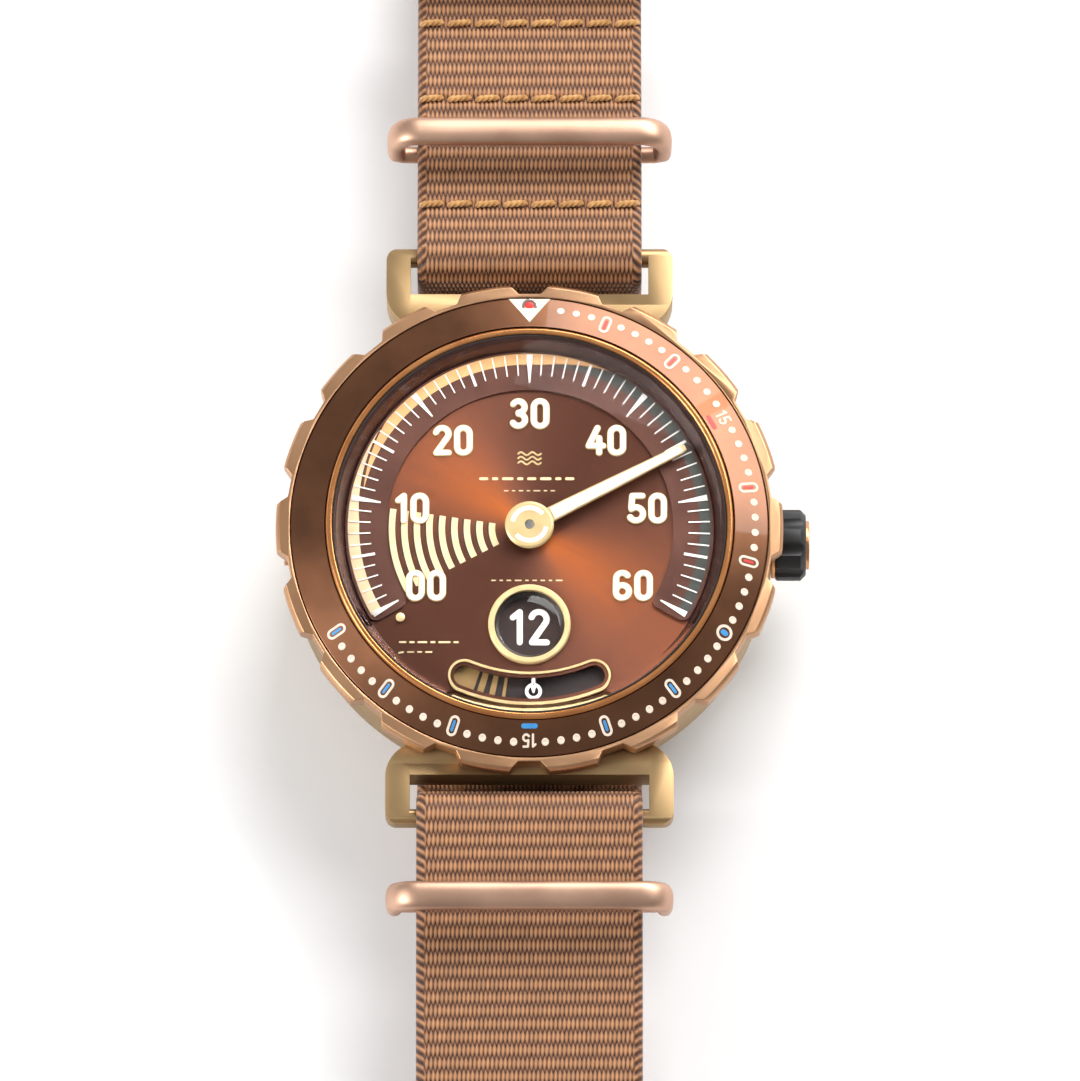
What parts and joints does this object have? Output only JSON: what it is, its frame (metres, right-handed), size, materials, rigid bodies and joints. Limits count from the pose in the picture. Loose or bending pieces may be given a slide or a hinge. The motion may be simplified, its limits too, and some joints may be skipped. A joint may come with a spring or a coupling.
{
  "type": "dive watch",
  "caption": "Bronze-coloured dive watch with a notched rotating bezel, retrograde minute hand, hour window, power reserve window and a woven pass-through strap with ring keepers.",
  "frame": {"origin": "on the case axis, at the underside of the strap that the watch lies on", "axes": "+X towards the crown at 3 o'clock, +Y towards 12 o'clock along the strap, +Z out through the crystal"},
  "size_m": [0.0473, 0.2776, 0.0176],
  "materials": {
    "case_gold": "bead-blasted olive gold",
    "bezel_bronze": "satin bronze",
    "ring_bronze": "polished bronze",
    "insert_brown": "brushed brown",
    "pip_red": "glossy red in a steel ring",
    "sapphire": "clear, domed",
    "rubber_black": "matte",
    "dial_brown": "sunburst",
    "track_brown": "fine matte",
    "print_cream": "matte print",
    "trim_gold": "polished pale gold",
    "disc_dark": "matte",
    "brass_gear": "fine grained",
    "nickel": "rhodium plated",
    "steel": "polished",
    "ruby": "polished",
    "webbing": "ribbed woven nylon",
    "keeper_rose": "matte rose bronze"
  },
  "bodies": {
    "case": {"case_middle": "case_gold", "case_back": "case_gold", "case_back_gasket": "rubber_black", "crown_tube": "case_gold", "crystal_ring": "ring_bronze", "crystal_gasket": "rubber_black", "crystal": "sapphire", "rehaut": "track_brown", "bezel_click_spring": "steel", "dial": "dial_brown", "minute_track": "track_brown", "dial_ticks": "print_cream", "dial_numerals": "print_cream", "hour_window_ring": "trim_gold", "hour_window_lens": "sapphire", "reserve_frame": "trim_gold", "movement_ring": "nickel", "mainplate": "brass_gear", "train_bridge": "nickel", "balance_cock": "nickel", "jewels": "ruby", "movement_screws": "steel", "hairspring": "steel", "valve_seat": "case_gold", "valve_spring": "steel", "strap_center": "webbing", "strap_wrap_upper": "webbing", "strap_wrap_lower": "webbing", "under_strap_center": "webbing", "under_strap_upper": "webbing", "under_strap_lower": "webbing"},
    "bezel": {"bezel_ring": "bezel_bronze", "bezel_insert": "insert_brown", "bezel_pip": "pip_red"},
    "hour_disc": {"hour_disc": "disc_dark"},
    "reserve_ring": {"reserve_ring": "disc_dark"},
    "minute_hand": {"minute_hand": "trim_gold", "hand_arbor": "brass_gear"},
    "retrograde_rack": {"retrograde_rack": "brass_gear"},
    "barrel": {"barrel": "brass_gear"},
    "center_wheel": {"center_wheel": "brass_gear"},
    "third_wheel": {"third_wheel": "brass_gear"},
    "fourth_wheel": {"fourth_wheel": "brass_gear"},
    "escape_wheel": {"escape_wheel": "steel"},
    "pallet_fork": {"pallet_fork": "steel"},
    "balance": {"balance_wheel": "brass_gear"},
    "rotor": {"rotor": "nickel"},
    "winding_pinion": {"winding_pinion": "steel"},
    "crown": {"winding_stem": "steel", "crown_core": "bezel_bronze", "crown_grip": "rubber_black"},
    "valve": {"valve_plunger": "bezel_bronze"},
    "strap_upper": {"strap_upper": "webbing"},
    "strap_lower": {"strap_lower": "webbing"},
    "keeper_near": {"keeper_near": "keeper_rose"},
    "keeper_far": {"keeper_far": "keeper_rose"},
    "keeper_under": {"keeper_under": "keeper_rose"},
    "buckle": {"buckle_frame": "keeper_rose"},
    "tang": {"buckle_tang": "keeper_rose"}
  },
  "joints": [
    {"name": "bezel_turn", "type": "hinge", "parent": "case", "child": "bezel", "pos_m": [0, 0, 0.013], "axis": [0, 0, 1], "continuous": true},
    {"name": "crown_turn", "type": "hinge", "parent": "case", "child": "winding_pinion", "pos_m": [0.01, 0, 0.008], "axis": [1, 0, 0], "continuous": true},
    {"name": "crown_pull", "type": "slide", "parent": "winding_pinion", "child": "crown", "axis": [1, 0, 0], "range_m": [0, 0.0016]},
    {"name": "minute_hand_turn", "type": "hinge", "parent": "case", "child": "minute_hand", "pos_m": [0, 0, 0.012], "axis": [0, 0, -1], "range_deg": [-182.4, 57.6]},
    {"name": "rack_swing", "type": "hinge", "parent": "case", "child": "retrograde_rack", "pos_m": [-0.0045, 0.00779, 0.0093], "axis": [0, 0, -1], "range_deg": [-7.5, 23]},
    {"name": "hour_disc_turn", "type": "hinge", "parent": "case", "child": "hour_disc", "pos_m": [0, 0, 0.012], "axis": [0, 0, -1], "continuous": true},
    {"name": "reserve_turn", "type": "hinge", "parent": "case", "child": "reserve_ring", "pos_m": [0, 0, 0.012], "axis": [0, 0, -1], "range_deg": [-20, 20]},
    {"name": "fourth_wheel_turn", "type": "hinge", "parent": "case", "child": "fourth_wheel", "pos_m": [-0.00238, -0.00446, 0.0065], "axis": [0, 0, -1], "continuous": true},
    {"name": "third_wheel_turn", "type": "hinge", "parent": "case", "child": "third_wheel", "pos_m": [-0.00496, -0.00088, 0.0065], "axis": [0, 0, -1], "continuous": true},
    {"name": "center_wheel_turn", "type": "hinge", "parent": "case", "child": "center_wheel", "pos_m": [0, 0, 0.0065], "axis": [0, 0, -1], "continuous": true},
    {"name": "barrel_turn", "type": "hinge", "parent": "case", "child": "barrel", "pos_m": [0.003, 0.0052, 0.0065], "axis": [0, 0, -1], "continuous": true},
    {"name": "escape_wheel_turn", "type": "hinge", "parent": "case", "child": "escape_wheel", "pos_m": [-0.00029, -0.00808, 0.0065], "axis": [0, 0, -1], "continuous": true},
    {"name": "pallet_swing", "type": "hinge", "parent": "case", "child": "pallet_fork", "pos_m": [0.00271, -0.00758, 0.0065], "axis": [0, 0, -1], "range_deg": [-5, 5]},
    {"name": "balance_swing", "type": "hinge", "parent": "case", "child": "balance", "pos_m": [0.0056, -0.0062, 0.0065], "axis": [0, 0, -1], "range_deg": [-135, 135], "stiffness_Nm_per_rad": 0.0000002, "deforming": ["hairspring"]},
    {"name": "rotor_turn", "type": "hinge", "parent": "case", "child": "rotor", "pos_m": [0, 0, 0.0046], "axis": [0, 0, 1], "continuous": true},
    {"name": "valve_open", "type": "slide", "parent": "case", "child": "valve", "axis": [-1, 0, 0], "range_m": [0, 0.0004], "stiffness_N_per_m": 200, "deforming": ["valve_spring"]},
    {"name": "strap_upper_bend", "type": "hinge", "parent": "case", "child": "strap_upper", "pos_m": [0, 0.0259, 0.0106], "axis": [1, 0, 0], "range_deg": [-70, 60], "deforming": ["strap_wrap_upper", "under_strap_upper"]},
    {"name": "strap_lower_bend", "type": "hinge", "parent": "case", "child": "strap_lower", "pos_m": [0, -0.0259, 0.0106], "axis": [-1, 0, 0], "range_deg": [-70, 60], "deforming": ["strap_wrap_lower", "under_strap_lower"]},
    {"name": "keeper_near_tilt", "type": "hinge", "parent": "strap_upper", "child": "keeper_near", "pos_m": [0, 0.03585, 0.00977], "axis": [1, 0, 0], "range_deg": [-35, 35]},
    {"name": "keeper_far_tilt", "type": "hinge", "parent": "strap_upper", "child": "keeper_far", "pos_m": [0, 0.053, 0.00781], "axis": [1, 0, 0], "range_deg": [-35, 35]},
    {"name": "keeper_under_tilt", "type": "hinge", "parent": "strap_lower", "child": "keeper_under", "pos_m": [0, -0.03359, 0.01002], "axis": [1, 0, 0], "range_deg": [-35, 35]},
    {"name": "buckle_turn", "type": "hinge", "parent": "strap_upper", "child": "buckle", "pos_m": [0, 0.10628, 0.0021], "axis": [1, 0, 0], "range_deg": [-75, 110]},
    {"name": "tang_turn", "type": "hinge", "parent": "buckle", "child": "tang", "pos_m": [0, 0.10628, 0.0021], "axis": [1, 0, 0], "range_deg": [0, 120]}
  ],
  "couplings": [
    {"joint": "rack_swing", "follows": "minute_hand_turn", "ratio": -0.125},
    {"joint": "third_wheel_turn", "follows": "fourth_wheel_turn", "ratio": -0.13333},
    {"joint": "center_wheel_turn", "follows": "fourth_wheel_turn", "ratio": 0.016667},
    {"joint": "barrel_turn", "follows": "fourth_wheel_turn", "ratio": -0.002381},
    {"joint": "escape_wheel_turn", "follows": "fourth_wheel_turn", "ratio": -10}
  ]
}
